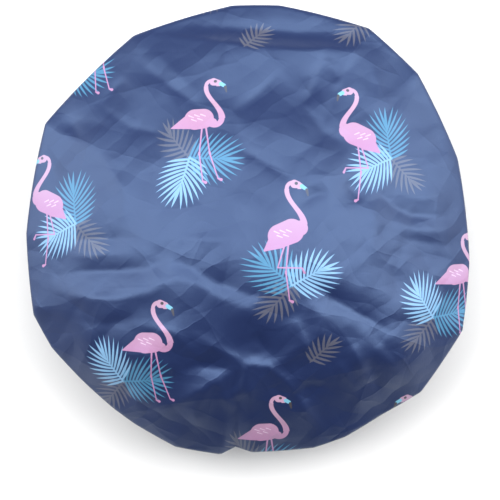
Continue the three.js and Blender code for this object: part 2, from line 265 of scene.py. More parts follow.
def meridian():
    """The shell's middle from the top of the crown to its edge in the casing: one row a point, with
    radius, height, the outward direction's turn from straight up, how much of the outline it follows,
    its places on the crown and on the underside as shares, and its distance along the cloth."""
    dome = CROWN_RADIUS - FOLD_RADIUS
    rise = CROWN_HEIGHT - FOLD_HEIGHT
    rim_slope = math.atan(2 * rise / dome)
    crown_points, fold_points, underside_points, casing_points = FORM_POINTS
    rows = []
    for share in np.linspace(0, 1, crown_points):
        slope = math.atan(2 * rise * share / dome)
        rows.append((dome * share, FOLD_HEIGHT + rise * (1 - share**2), slope, share**2, share, 0))
    centre = (dome - FOLD_RADIUS * math.sin(rim_slope), FOLD_HEIGHT - FOLD_RADIUS * math.cos(rim_slope))
    for turn in np.linspace(rim_slope, math.pi - UNDERSIDE_SLOPE, fold_points)[1:]:
        place = (centre[0] + FOLD_RADIUS * math.sin(turn), centre[1] + FOLD_RADIUS * math.cos(turn))
        rows.append((*place, turn, 1, 1, 0))
    start = np.array(rows[-1][:2])
    end = np.array([EDGE_RADIUS, HEM_HEIGHT])
    lead = (start[0] - end[0]) * UNDERSIDE_LEAD
    first = start - lead * np.array([math.cos(UNDERSIDE_SLOPE), math.sin(UNDERSIDE_SLOPE)])
    second = np.array([end[0], end[1] + (start[1] - end[1]) * UNDERSIDE_DROP])
    for t in np.linspace(0, 1, underside_points)[1:]:
        place = (1 - t) ** 3 * start + 3 * t * (1 - t) ** 2 * first
        place = place + 3 * t**2 * (1 - t) * second + t**3 * end
        along = (1 - t) ** 2 * (first - start) + 2 * t * (1 - t) * (second - first)
        along = along + t**2 * (end - second)
        rows.append((*place, math.atan2(-along[1], along[0]), (1 - t) ** 2, 1, t))
    for t in np.linspace(0, 1, casing_points)[1:]:
        rows.append((EDGE_RADIUS, HEM_HEIGHT + (CLOTH_EDGE - HEM_HEIGHT) * t, math.pi / 2, 0, 1, 1 + t))
    rows = np.array(rows)
    steps = np.hypot(np.diff(rows[:, 0]), np.diff(rows[:, 1]))
    along = np.concatenate([[0], np.cumsum(steps)])
    return np.column_stack([rows, along])


def fold_share(angle):
    """Distance from the axis to the pressed fold, as a share of the crown radius."""
    corners = np.array([degrees for degrees, share in FOLD_CORNERS])
    shares = np.array([share for degrees, share in FOLD_CORNERS])
    degrees = np.degrees(angle) % 360
    after = np.searchsorted(corners, degrees, side="right") % len(corners)
    before = after - 1
    span = np.radians((corners[after] - corners[before]) % 360)
    gone = np.radians((degrees - corners[before]) % 360)
    across = shares[before] * np.sin(gone) + shares[after] * np.sin(span - gone)
    straight = shares[before] * shares[after] * np.sin(span) / across
    bowed = shares[before] + (shares[after] - shares[before]) * gone / span
    return straight + (bowed - straight) * CORNER_BOW


def smooth(low, high, value):
    """0 below low, 1 above high, and an even turn between them."""
    t = np.clip((value - low) / (high - low), 0, 1)
    return t * t * (3 - 2 * t)


def crease_height(x, y, points, height, left, right):
    """Height in millimetres that one crease adds at places in millimetres: it tapers off at both ends."""
    points = np.array(points, float)
    lengths = np.hypot(*np.diff(points, axis=0).T)
    total = lengths.sum()
    nearest = np.full(x.shape, 1e9)
    side = np.zeros(x.shape)
    place = np.zeros(x.shape)
    before = 0
    for start, end, length in zip(points, points[1:], lengths):
        along = (end - start) / length
        run = np.clip((x - start[0]) * along[0] + (y - start[1]) * along[1], 0, length)
        across = along[0] * (y - start[1]) - along[1] * (x - start[0])
        distance = np.hypot(x - start[0] - along[0] * run, y - start[1] - along[1] * run)
        closer = distance < nearest
        nearest = np.where(closer, distance, nearest)
        side = np.where(closer, across, side)
        place = np.where(closer, before + run, place)
        before += length
    width = right + (left - right) * smooth(-CREST_TURN, CREST_TURN, side)
    bend = min(CREST_BEND, 0.5 * min(left, right))
    profile = np.exp(-(np.sqrt(nearest**2 + bend**2) - bend) / width)
    taper = np.sin(np.pi * np.clip(place / total, CREASE_END, 1 - CREASE_END)) ** CREASE_TAPER
    return height * profile * taper


def crumple(x, y, spacing, height, rng):
    """Flat facets that meet in sharp creases: sets of folds, each with its own direction, bent a little
    and strong in some places only."""
    total = np.zeros(x.shape)
    for turn in rng.uniform(0, math.pi, CRUMPLE_DIRECTIONS):
        along = x * math.cos(turn) + y * math.sin(turn)
        across = y * math.cos(turn) - x * math.sin(turn)
        starts = rng.uniform(0, 2 * math.pi, 5)
        bent = along / spacing
        for (reach, rate), start in zip(CRUMPLE_BENDS, starts):
            bent = bent + reach * np.sin(across / spacing * rate + start)
        bent = bent + starts[2]
        wave = np.abs(bent - np.floor(bent) - 0.5) * 2 - 0.5
        patch = np.sin(x / spacing * CRUMPLE_PATCH[0] + starts[3])
        patch = patch * np.sin(y / spacing * CRUMPLE_PATCH[1] + starts[4])
        total += wave * (0.5 + 0.5 * patch)
    return height * total


def crown_relief(x, y):
    """Height in metres that folds and creases add to the crown, at places in metres."""
    x = x / MM
    y = y / MM
    relief = np.zeros(x.shape)
    for points, height, left, right in CREASES:
        relief += crease_height(x, y, points, height, left, right)
    for middle_x, middle_y, reach_along, reach_across, degrees, height in BROAD_FOLDS:
        turn = math.radians(degrees)
        along = (x - middle_x) * math.cos(turn) + (y - middle_y) * math.sin(turn)
        across = (y - middle_y) * math.cos(turn) - (x - middle_x) * math.sin(turn)
        relief += height * np.exp(-((along / reach_along) ** 2) - (across / reach_across) ** 2)
    rng = np.random.default_rng(CREASE_SEED)
    radius = CROWN_RADIUS / MM
    for degrees, share in FOLD_CORNERS:
        turn = math.radians(degrees)
        reach = rng.uniform(*CORNER_REACH)
        inner = turn + rng.normal(0, CORNER_LEAN)
        rim = (radius * share * math.cos(turn), radius * share * math.sin(turn))
        inside = (radius * (1 - reach) * math.cos(inner), radius * (1 - reach) * math.sin(inner))
        height = rng.choice([-1, 1]) * rng.uniform(*CORNER_CREASE_HEIGHT)
        relief += crease_height(x, y, [rim, inside], height, CORNER_CREASE_WIDTH, CORNER_CREASE_WIDTH)
    for spacing, height in CRUMPLES:
        relief += crumple(x, y, spacing, height, rng)
    return relief * MM


def wander(angle, rng, most, height):
    """A smooth random wave round the cap, summed from waves that have fewer crests than most."""
    value = np.zeros(angle.shape)
    for count in range(1, most):
        part = height * rng.normal() / math.sqrt(most)
        value += part * np.sin(count * angle + rng.uniform(0, 2 * math.pi))
    return value


def hem_wave(angle):
    """How far the cloth and the tape wave in and out where the elastic gathers them, in metres."""
    rng = np.random.default_rng(HEM_SEED)
    return HEM_WAVE * np.cos(SMALL_GATHERS * (angle + wander(angle, rng, *HEM_SHIFT)))


def gather_depth(angle, down):
    """How far a pleat stands out, in metres. down runs from 0 at the pressed fold to 1 at the casing.
    The main pleats start first, and the small ones take over near the casing."""
    rng = np.random.default_rng(GATHER_SEED)
    shifted = angle + wander(angle, rng, *MAIN_SHIFT)
    onset = MAIN_ONSET + wander(angle, rng, *MAIN_EARLY)
    kept = 1 - MAIN_LOSS * smooth(*MAIN_FADE, down)
    main_share = smooth(onset - MAIN_ONSET, onset + MAIN_GROWTH, down) * kept
    main_depth = MAIN_DEPTH + wander(angle, rng, *MAIN_DEPTH_SPREAD)
    main = np.cos(MAIN_GATHERS * shifted) * main_depth * main_share
    small_share = smooth(SMALL_ONSET + wander(angle, rng, *SMALL_EARLY), SMALL_FULL, down)
    shift = wander(angle, rng, *SMALL_SHIFT) * (1 - down)
    small_depth = SMALL_DEPTH + wander(angle, rng, *SMALL_DEPTH_SPREAD)
    small = hem_wave(angle + shift) / HEM_WAVE * small_depth * small_share
    at_casing = smooth(CASING_ONSET, 1.0, down)
    both = (main + small) * (1 - at_casing) + hem_wave(angle) * at_casing
    return both * smooth(0.0, FOLD_ONSET, down)


def ring_stations(form):
    """Distances along the cloth of its rings: even on the crown and the underside, close at the fold."""
    along = form[:, -1]
    crown_end = along[form[:, 4] < 1].max()
    under_start = along[form[:, 5] > 0].min()
    under_end = along[form[:, 5] <= 1].max()
    crown = np.linspace(0, crown_end, round(crown_end / CLOTH_CELL) + 1)[1:]
    fold = np.linspace(crown_end, under_start, FOLD_RINGS)[1:-1]
    under = np.linspace(under_start, under_end, UNDERSIDE_RINGS)
    hem = np.linspace(under_end, along[-1], CASING_RINGS)[1:]
    return np.concatenate([crown, fold, under, hem])


def cloth_layer(name, inset, thickness, material):
    """One layer of the cap: a closed sheet with an outside and an inside, joined round its edge. Its
    UV map holds the place of each point on the flat cut circle."""
    form = meridian()
    stations = ring_stations(form)
    along = form[:, -1]
    at_station = [np.interp(stations, along, values) for values in form[:, :-1].T]
    counts = []
    columns = FIRST_COLUMNS
    for radius, down in zip(at_station[0], at_station[5]):
        coarse = columns < MOST_COLUMNS and 2 * math.pi * radius / columns > WIDEST_CELL
        if coarse or (down > HEM_COLUMNS_FROM and columns < HEM_COLUMNS):
            columns *= 2
        counts.append(columns)
    ring = np.concatenate([np.full(count, number) for number, count in enumerate(counts)])
    angle = np.concatenate([np.arange(count) / count * 2 * math.pi for count in counts])
    radius, height, turn, follows, share, down = [values[ring] for values in at_station]
    flat = stations[ring]

    outline = 1 + (fold_share(angle) - 1) * follows
    y_share = share * np.sin(angle)
    lean = -CROWN_LEAN * (CROWN_HEIGHT - FOLD_HEIGHT) * (1 - share**2) * y_share
    lean = np.where(down > 0, 0, lean)
    x = radius * outline * np.cos(angle)
    y = radius * outline * np.sin(angle)
    fade = np.where(down > 0, 0, 1 - share**RELIEF_FADE)
    relief = crown_relief(x, y) * fade
    stand = gather_depth(angle, down)

    def wall(depth):
        """The points of one side of the layer, at a depth inside the shell's middle."""
        out = stand - depth
        wide = radius * outline + np.sin(turn) * out
        tall = height + np.cos(turn) * out + lean + relief
        top = [0, 0, CROWN_HEIGHT - depth + crown_relief(np.zeros(1), np.zeros(1))[0]]
        return np.vstack([top, np.column_stack([wide * np.cos(angle), wide * np.sin(angle), tall])])

    outside = wall(inset - thickness / 2)
    inside = wall(inset + thickness / 2)
    points = np.vstack([outside, inside])
    starts = np.concatenate([[1], 1 + np.cumsum(counts)])
    faces = []
    for column in range(counts[0]):
        faces.append((0, 1 + column, 1 + (column + 1) % counts[0]))
    for number in range(len(counts) - 1):
        here = starts[number]
        there = starts[number + 1]
        count = counts[number]
        for column in range(count):
            after = (column + 1) % count
            if counts[number + 1] == count:
                faces.append((here + column, there + column, there + after, here + after))
            else:
                middle = there + 2 * column + 1
                last = there + (2 * column + 2) % (2 * count)
                faces.append((here + column, there + 2 * column, middle))
                faces.append((here + column, middle, here + after))
                faces.append((here + after, middle, last))
    size = len(outside)
    edge = starts[len(counts) - 1]
    walls = faces + [tuple(size + corner for corner in reversed(face)) for face in faces]
    for column in range(counts[-1]):
        after = (column + 1) % counts[-1]
        walls.append((edge + column, size + edge + column, size + edge + after, edge + after))

    piece = sheet_piece(name, points, walls, material)
    directions = np.column_stack([np.cos(angle), np.sin(angle)])
    places = np.vstack([[0, 0], (flat * outline)[:, None] * directions])
    unwrap(piece, np.vstack([places, places]) / FLAT_SPAN + 0.5)
    return piece


def sheet_piece(name, points, faces, material):
    """A piece whose place is in its mesh."""
    mesh = bpy.data.meshes.new(name)
    mesh.from_pydata(points.tolist(), [], [tuple(int(corner) for corner in face) for face in faces])
    mesh.shade_smooth()
    mesh.materials.append(material)
    piece = bpy.data.objects.new(name, mesh)
    bpy.context.scene.collection.objects.link(piece)
    return piece


def unwrap(piece, places):
    """Gives a piece the UV map "cloth" from one place for each of its points."""
    mesh = piece.data
    corners = np.zeros(len(mesh.loops), int)
    mesh.loops.foreach_get("vertex_index", corners)
    mesh.uv_layers.new(name="cloth").uv.foreach_set("vector", places[corners].ravel())


def casing_tape(material):
    """The gathered tape round the elastic: a closed strip, folded to a U and puckered by its stitches."""
    half = np.array(TAPE_HALF_SECTION) * MM
    line = np.vstack([half[::-1], half[1:] * (-1, 1)])
    steps = np.hypot(*np.diff(line, axis=0).T)
    along = np.concatenate([[0], np.cumsum(steps)])
    tangent = np.gradient(line, axis=0)
    tangent /= np.hypot(tangent[:, 0], tangent[:, 1])[:, None]
    normal = np.column_stack([-tangent[:, 1], tangent[:, 0]])
    wall_outside = line - normal * TAPE_THICKNESS / 2
    wall_inside = line + normal * TAPE_THICKNESS / 2
    section = np.vstack([wall_outside, wall_inside[::-1]])
    run = np.concatenate([along, along[::-1]])
    angle = np.arange(HEM_COLUMNS) / HEM_COLUMNS * 2 * math.pi
    rng = np.random.default_rng(PUCKER_SEED)
    shift = wander(angle, rng, *PUCKER_SHIFT)
    pucker = np.cos(PUCKERS * (angle + shift)) * (1 + wander(angle, rng, *PUCKER_SPREAD))
    loose = np.sin(np.pi * np.clip(section[:, 1] / MOUTH_HEIGHT, 0, 1)) * np.sign(section[:, 0])
    radius = OPENING_RADIUS + section[:, 0] + hem_wave(angle)[:, None]
    radius = radius + PUCKER_DEPTH * pucker[:, None] * loose
    height = np.broadcast_to(section[:, 1], radius.shape)
    cosine = np.cos(angle)[:, None]
    sine = np.sin(angle)[:, None]
    points = np.stack([radius * cosine, radius * sine, height], axis=-1).reshape(-1, 3)
    count = len(section)
    faces = []
    for column in range(HEM_COLUMNS):
        here = column * count
        there = (column + 1) % HEM_COLUMNS * count
        for corner in range(count):
            after = (corner + 1) % count
            faces.append((here + corner, here + after, there + after, there + corner))
    tape = sheet_piece("hem_tape", points, faces, material)
    around = np.repeat(angle * OPENING_RADIUS, count)
    places = np.column_stack([around, np.tile(run, HEM_COLUMNS)]) / FLAT_SPAN
    unwrap(tape, places)
    return tape


def stitch_row(name, side, material):
    """A row of stitches on the tape's outer face (side 1) or inner face (side -1): one slender stitch,
    copied round the hem."""
    bpy.ops.object.select_all(action="DESELECT")
    bpy.ops.mesh.primitive_uv_sphere_add(segments=6, ring_count=5, radius=THREAD_RADIUS)
    first = bpy.context.object
    first.name = name
    bpy.ops.object.mode_set(mode="EDIT")
    bpy.ops.mesh.select_all(action="SELECT")
    bpy.ops.transform.rotate(value=math.pi / 2, orient_axis="Y", center_override=(0, 0, 0))
    bpy.ops.transform.resize(value=(STITCH_LENGTH / 2 / THREAD_RADIUS, 1, 1), center_override=(0, 0, 0))
    bpy.ops.object.mode_set(mode="OBJECT")
    bpy.ops.object.shade_smooth()
    face = OPENING_RADIUS + side * (MOUTH_OFFSET + TAPE_THICKNESS / 2)
    count = round(2 * math.pi * face / STITCH_PITCH)
    copies = []
    for number in range(count):
        angles = (number + np.array([-STITCH_REACH, 0, STITCH_REACH])) / count * 2 * math.pi
        radius = face + hem_wave(angles) + side * THREAD_PROUD * THREAD_RADIUS
        ends = np.column_stack([radius * np.cos(angles), radius * np.sin(angles)])
        run = ends[2] - ends[0]
        middle = ends.mean(axis=0)
        copy = first.copy()
        copy.data = first.data.copy()
        turn = Matrix.Rotation(math.atan2(run[1], run[0]), 4, "Z")
        copy.matrix_world = Matrix.Translation((middle[0], middle[1], STITCH_HEIGHT)) @ turn
        bpy.context.scene.collection.objects.link(copy)
        copies.append(copy)
    bpy.data.objects.remove(first)
    for copy in copies:
        copy.select_set(True)
    bpy.context.view_layer.objects.active = copies[0]
    bpy.ops.object.join()
    row = bpy.context.object
    bpy.ops.object.transform_apply(location=True, rotation=True, scale=True)
    row.name = name
    row.data.name = name
    row.data.materials.clear()
    row.data.materials.append(material)
    return row


# Node trees


class Number:
    """A value that varies over a surface. Sums and products of such values become Math nodes."""

    def __init__(self, tree, socket):
        self.tree = tree
        self.socket = socket

    def math(self, operation, *values, clamp=False):
        node = self.tree.nodes.new("ShaderNodeMath")
        node.operation = operation
        node.use_clamp = clamp
        connect(self.tree, node.inputs, (self, *values))
        return Number(self.tree, node.outputs[0])

    def vector(self, operation, *values, output=0):
        node = self.tree.nodes.new("ShaderNodeVectorMath")
        node.operation = operation
        connect(self.tree, node.inputs, (self, *values))
        return Number(self.tree, node.outputs[output])

    def __add__(self, other):
        return self.math("ADD", other)

    def __sub__(self, other):
        return self.math("SUBTRACT", other)

    def __mul__(self, other):
        return self.math("MULTIPLY", other)

    def times_plus(self, factor, offset):
        return self.math("MULTIPLY_ADD", factor, offset)

    def least(self, other):
        return self.math("MINIMUM", other)

    def most(self, other):
        return self.math("MAXIMUM", other)


def connect(tree, sockets, values):
    """Links or sets the sockets in order."""
    for socket, value in zip(sockets, values):
        if isinstance(value, Number):
            tree.links.new(value.socket, socket)
        else:
            socket.default_value = value


def axes(place):
    """The x and y of a vector."""
    node = place.tree.nodes.new("ShaderNodeSeparateXYZ")
    connect(place.tree, node.inputs, (place,))
    return Number(place.tree, node.outputs[0]), Number(place.tree, node.outputs[1])


def turned(place, angle, back=False):
    """A place in the plane, turned about the origin by an angle."""
    node = place.tree.nodes.new("ShaderNodeVectorRotate")
    node.rotation_type = "Z_AXIS"
    node.invert = back
    connect(place.tree, (node.inputs["Vector"], node.inputs["Angle"]), (place, angle))
    return Number(place.tree, node.outputs[0])


def mixed(share, low, high, kind="RGBA"):
    """low where share is 0 and high where it is 1."""
    node = share.tree.nodes.new("ShaderNodeMix")
    node.data_type = kind
    ending = {"RGBA": "_Color", "VECTOR": "_Vector", "FLOAT": "_Float"}[kind]
    sockets = {socket.identifier: socket for socket in node.inputs}
    wanted = (sockets["Factor_Float"], sockets["A" + ending], sockets["B" + ending])
    connect(share.tree, wanted, (share, low, high))
    outputs = {socket.identifier: socket for socket in node.outputs}
    return Number(share.tree, outputs["Result" + ending])


def group_tree(name, inputs, outputs):
    """A node group with the named inputs and outputs, which are (name, kind) pairs."""
    tree = bpy.data.node_groups.new(name, "ShaderNodeTree")
    for title, kind in inputs:
        tree.interface.new_socket(title, in_out="INPUT", socket_type=kind)
    for title, kind in outputs:
        tree.interface.new_socket(title, in_out="OUTPUT", socket_type=kind)
    start = tree.nodes.new("NodeGroupInput")
    end = tree.nodes.new("NodeGroupOutput")
    return tree, [Number(tree, socket) for socket in start.outputs[: len(inputs)]], end


def use_group(group, *values):
    """The outputs of a node group in the tree that its values belong to."""
    tree = next(value.tree for value in values if isinstance(value, Number))
    node = tree.nodes.new("ShaderNodeGroup")
    node.node_tree = group
    connect(tree, node.inputs, values)
    return [Number(tree, socket) for socket in node.outputs]


def ink(distance):
    """Coverage of ink: 1 inside a shape, 0 outside, from the signed distance in millimetres."""
    return distance.math("MULTIPLY_ADD", -1 / INK_SOFTNESS, 0.5, clamp=True)


def stroke(place, start, end, thick, thin):
    """Signed distance to a stroke that tapers from one half-width to another."""
    reach = Vector((end[0] - start[0], end[1] - start[1], 0))
    away = place.vector("SUBTRACT", (start[0], start[1], 0))
    share = away.vector("DOT_PRODUCT", tuple(reach / reach.length_squared), output=1)
    share = share.math("ADD", 0, clamp=True)
    scaled = away.tree.nodes.new("ShaderNodeVectorMath")
    scaled.operation = "SCALE"
    connect(away.tree, (scaled.inputs[0], scaled.inputs["Scale"]), (tuple(reach), share))
    aside = away.vector("SUBTRACT", Number(away.tree, scaled.outputs[0]))
    distance = aside.vector("LENGTH", output=1)
    return distance - share.times_plus(thin - thick, thick)


def strokes(place, rows):
    """Signed distance to the nearest of several strokes."""
    nearest = None
    for row in rows:
        distance = stroke(place, *row)
        nearest = distance if nearest is None else nearest.least(distance)
    return nearest


def round_band(place, centre, radius, half_width):
    """Signed distance to a band that runs round a centre."""
    away = place.vector("DISTANCE", (*centre, 0), output=1).math("SUBTRACT", radius)
    return away.math("ABSOLUTE") - half_width


# The print. Places are millimetres on the flat cloth, with a bird's body at the origin. A stroke is its
# two ends and its half-width at each, and a round band is its centre, its radius and its half-width. A
# neck is half a wave, NECK_RISE high, and NECK_SLANT allows for its slant in the distance across it.

INK_SOFTNESS = 0.3
WALKING_NECK = (-3.2, 0, 0)
STANDING_NECK = (-6.8, 8, 0)
NECK_FOOT = 1
NECK_TOP = 30.2
NECK_RISE = 28
NECK_MIDDLE = 15.8
NECK_SWING = 7
NECK_SLANT = 0.8
NECK_HALF_WIDTH = 2.25
NECK_NARROWING = 0.025
CROOK = ((14, 30.2), 5.2, 1.55)
CROOK_FOOT = 30
BREAST = ((16.6, 1), 6.1, 2.35)
BREAST_TOP = 1.2
WALKING_BODY = [
    ((-3, 0), (4, 0.6), 9.2, 8.8),
    ((-4, -0.8), (-23, -7.4), 8.4, 0.5),
    ((4, -0.6), (12, -2.8), 8.0, 3.6),
]
STANDING_BODY = [
    ((-4, -0.5), (6, 3.6), 9.6, 10.0),
    ((-6, -4), (-16, -12), 7.8, 1.0),
    ((7, 4), (13, 6), 9.4, 6.2),
]
HEAD = [((15.2, 34.2), (19.6, 33.2), 3.5, 2.6)]
STANDING_LEG = [
    ((3, -8), (1.2, -30), 0.75, 0.5),
    ((1.2, -29.2), (1.3, -30.8), 0.9, 0.9),
    ((1.2, -30), (4.4, -53), 0.6, 0.5),
    ((4.2, -53), (6.8, -54.2), 0.6, 1.3),
]
STEPPING_LEG = [
    ((6.5, -8), (9.8, -29.5), 0.75, 0.5),
    ((9.8, -28.7), (10.1, -30.3), 0.9, 0.9),
    ((9.8, -29.5), (17, -51), 0.6, 0.5),
    ((17, -51), (19.6, -52.0), 0.6, 1.3),
]
RAISED_LEG = [
    ((0, -8), (-5.5, -26), 0.7, 0.5),
    ((-5.5, -26), (14.5, -26.5), 0.6, 0.5),
    ((14.5, -26.5), (16.4, -30.4), 0.55, 1.0),
]
BILL = [((21.4, 32.3), (24.2, 30.7), 1.8, 1.6)]
BILL_TIP = [((25.3, 29.4), (26.3, 24.8), 1.3, 0.6)]
EYE = [((16.6, 34.7), (16.8, 34.7), 1.3, 1.3)]
PALER_LOW = 0.45
PALER_RISE = 0.03
FEATHERS_COVER = 0.6
FEATHERS = [
    ((-8.4, 3.4), (-4.2, 1.6), 0.4, 0.25),
    ((-3.6, 4.2), (0.6, 2.4), 0.4, 0.25),
    ((-6, 0), (-1.8, -1.6), 0.4, 0.25),
    ((-0.8, 0.8), (3.4, -0.8), 0.4, 0.25),
    ((1.6, 4.6), (5.8, 2.8), 0.4, 0.25),
]

# A distance in millimetres that counts as well outside a shape

FAR = 9

# Leaflets of a palm frond. One that springs from the share r of the midrib runs forward, for each
# millimetre beside the midrib, by LEAF_LEAN + LEAF_FAN * r / (LEAF_FAN_END - r), and LEAF_CURL bends it
# forward further out. LEAF_SPREAD is how much that widens the gaps between leaflets further out.

LEAF_LEAN = 0.28
LEAF_FAN = 0.46
LEAF_FAN_END = 1.02
LEAF_SPREAD = 0.47
LEAF_CURL = 0.014
LEAF_SHORTENING = 1.3
LEAF_HALF_WIDTH = 1.22
LEAF_BELLY = (2.6, 0.4)
ROOTS_MIDDLE = 0.45
ROOTS_REACH = 0.455
LAST_LEAF_START = 0.9
LAST_LEAF_LENGTH = 0.75
LAST_LEAF_BELLY = (3.4, 0.7)
RIB_HALF_WIDTH = 0.75
RIB_TAPER = 0.008

# Fronds: the midrib's length, the longest leaflet's, the leaflets on a side and the midrib's bend

GREY_FROND = (27.0, 20.0, 7.5, 0.003)
BLUE_FROND = (28.0, 28.0, 9.5, -0.002)
PALE_FROND = (27.0, 26.5, 9.5, 0.002)
SMALL_FROND = (22.0, 16.0, 6.5, 0.003)

# Repeat of the print: a square tile, turned on the cloth, with four birds and one lone frond

TILE = 278
TILE_TURN = math.radians(11.6)
CLUSTER_CENTRE = (0, -14)
CLUSTERS = [
    # place in the tile, facing, raised leg, foot of the fronds, directions of the blue, pale, grey fronds
    ((-22, 99), 1, 0, (-7, -33), (-6, 256, 134)),
    ((110, 57), -1, 1, (-27, -17), (80, -22, 230)),
    ((28, -11), 1, 1, (6, -41), (136, 31, 232)),
    ((-102, -77), 1, 0, (-25, -37), (4, 128, 234)),
]
LONE_FROND = (30, -120)
LONE_FROND_TURN = math.radians(48)

# Colours of the print

NAVY = (0.0066, 0.0128, 0.056, 1)
PINK = (0.35, 0.165, 0.305, 1)
PALE_PINK = (0.385, 0.235, 0.335, 1)
PALE_BLUE = (0.16, 0.31, 0.48, 1)
MID_BLUE = (0.045, 0.165, 0.28, 1)
GREY = (0.066, 0.066, 0.092, 1)
BILL_BLUE = (0.15, 0.38, 0.50, 1)
BROWN = (0.05, 0.04, 0.035, 1)
WHITE = (0.70, 0.58, 0.70, 1)


def frond_group():
    """A palm frond along +X from the origin. Its leaflets spring from both sides of a midrib, bend
    forward and fan out more and more towards the last one, which ends the midrib. Leaflets is how many
    there are on a side."""
    inputs = [
        ("Place", "NodeSocketVector"),
        ("Midrib", "NodeSocketFloat"),
        ("Leaf length", "NodeSocketFloat"),
        ("Leaflets", "NodeSocketFloat"),
        ("Bend", "NodeSocketFloat"),
    ]
    tree, values, end = group_tree("palm_frond", inputs, [("Distance", "NodeSocketFloat")])
    place, midrib, leaf_length, leaflets, bend = values
    x, y = axes(place)
    across = (x * x).times_plus(bend, y)
    beside = across.math("ABSOLUTE")
    side = across.math("GREATER_THAN", 0) * 0.5
    forward = beside.times_plus(LEAF_CURL, 1) * beside
    start = forward.times_plus(-LEAF_LEAN, x)
    # the root of the leaflet that passes here solves a quadratic equation
    total = midrib.times_plus(LEAF_FAN_END, start) + forward * LEAF_FAN
    inner = total * total - midrib * start * (4 * LEAF_FAN_END)
    root_here = (total - inner.most(0).math("SQRT")).math("DIVIDE", midrib * 2)
    counted = root_here * leaflets + side
    cell = counted.math("FLOOR")
    off = (counted - cell).math("SUBTRACT", 0.5).math("ABSOLUTE")
    root = (cell + 0.5 - side).math("DIVIDE", leaflets)
    gap = (root_here * -1 + LEAF_FAN_END).most(0.02)
    spread = (forward * LEAF_SPREAD).math("DIVIDE", gap * gap) + midrib
    out = ((x - root * midrib).math("POWER", 2) + beside * beside).math("SQRT")
    middle = root - 0.5
    length = (middle * middle).times_plus(-LEAF_SHORTENING, 1) * leaf_length
    share = out.math("DIVIDE", length.most(0.5))
    half = (share * -1 + 1) * share.times_plus(*LEAF_BELLY)
    aside = (off * spread * beside).math("DIVIDE", leaflets * out.most(0.3))
    leaf = half.times_plus(-LEAF_HALF_WIDTH, aside)
    ends = (root - ROOTS_MIDDLE).math("ABSOLUTE").math("GREATER_THAN", ROOTS_REACH)
    leaf = ends.times_plus(FAR, leaf)
    tip = (x - midrib * LAST_LEAF_START).math("DIVIDE", leaf_length * LAST_LEAF_LENGTH)
    last = (tip - 1) * tip.most(0).times_plus(*LAST_LEAF_BELLY) + beside
    last = last.most(tip * -FAR)
    rib = x.times_plus(RIB_TAPER, -RIB_HALF_WIDTH) + beside
    rib = rib.most(x * -1).most(x - midrib)
    connect(tree, end.inputs, (leaf.least(rib).least(last),))
    return tree


def bird_group():
    """A long-legged wading bird facing +X, with its body at the origin. It walks, or stands on one leg
    with its neck drawn back."""
    inputs = [("Place", "NodeSocketVector"), ("Raised leg", "NodeSocketFloat")]
    names = ("Body", "Paler", "Bill", "Dark", "Feathers")
    outputs = [(name, "NodeSocketFloat") for name in names]
    tree, (place, raised), end = group_tree("wading_bird", inputs, outputs)
    shift = mixed(raised, WALKING_NECK, STANDING_NECK, "VECTOR")
    upper = place.vector("SUBTRACT", shift)
    x, y = axes(upper)
    turn = y.times_plus(math.pi / NECK_RISE, -math.pi / NECK_RISE * NECK_FOOT)
    curve = turn.math("COSINE").times_plus(-NECK_SWING, -NECK_MIDDLE)
    width = y.times_plus(NECK_NARROWING, -NECK_HALF_WIDTH)
    neck = (x + curve).math("ABSOLUTE").times_plus(NECK_SLANT, width)
    neck = neck.most(y * -1 + NECK_FOOT).most(y - NECK_TOP)
    crook = round_band(upper, *CROOK).most(y * -1 + CROOK_FOOT)
    # a bird that stands has no round breast, so its band is moved far outside
    breast = round_band(upper, *BREAST).most(y - BREAST_TOP) + raised * FAR
    body = mixed(raised, strokes(place, WALKING_BODY), strokes(place, STANDING_BODY), "FLOAT")
    leg = mixed(raised, strokes(place, STEPPING_LEG), strokes(place, RAISED_LEG), "FLOAT")
    bird = body.least(leg).least(strokes(place, STANDING_LEG))
    bird = bird.least(neck).least(crook).least(breast).least(strokes(upper, HEAD))
    paler = y.math("MULTIPLY_ADD", PALER_RISE, PALER_LOW, clamp=True)
    dark = strokes(upper, BILL_TIP + EYE)
    feathers = ink(strokes(place, FEATHERS)) * FEATHERS_COVER
    connect(tree, end.inputs, (ink(bird), paler, ink(strokes(upper, BILL)), ink(dark), feathers))
    return tree


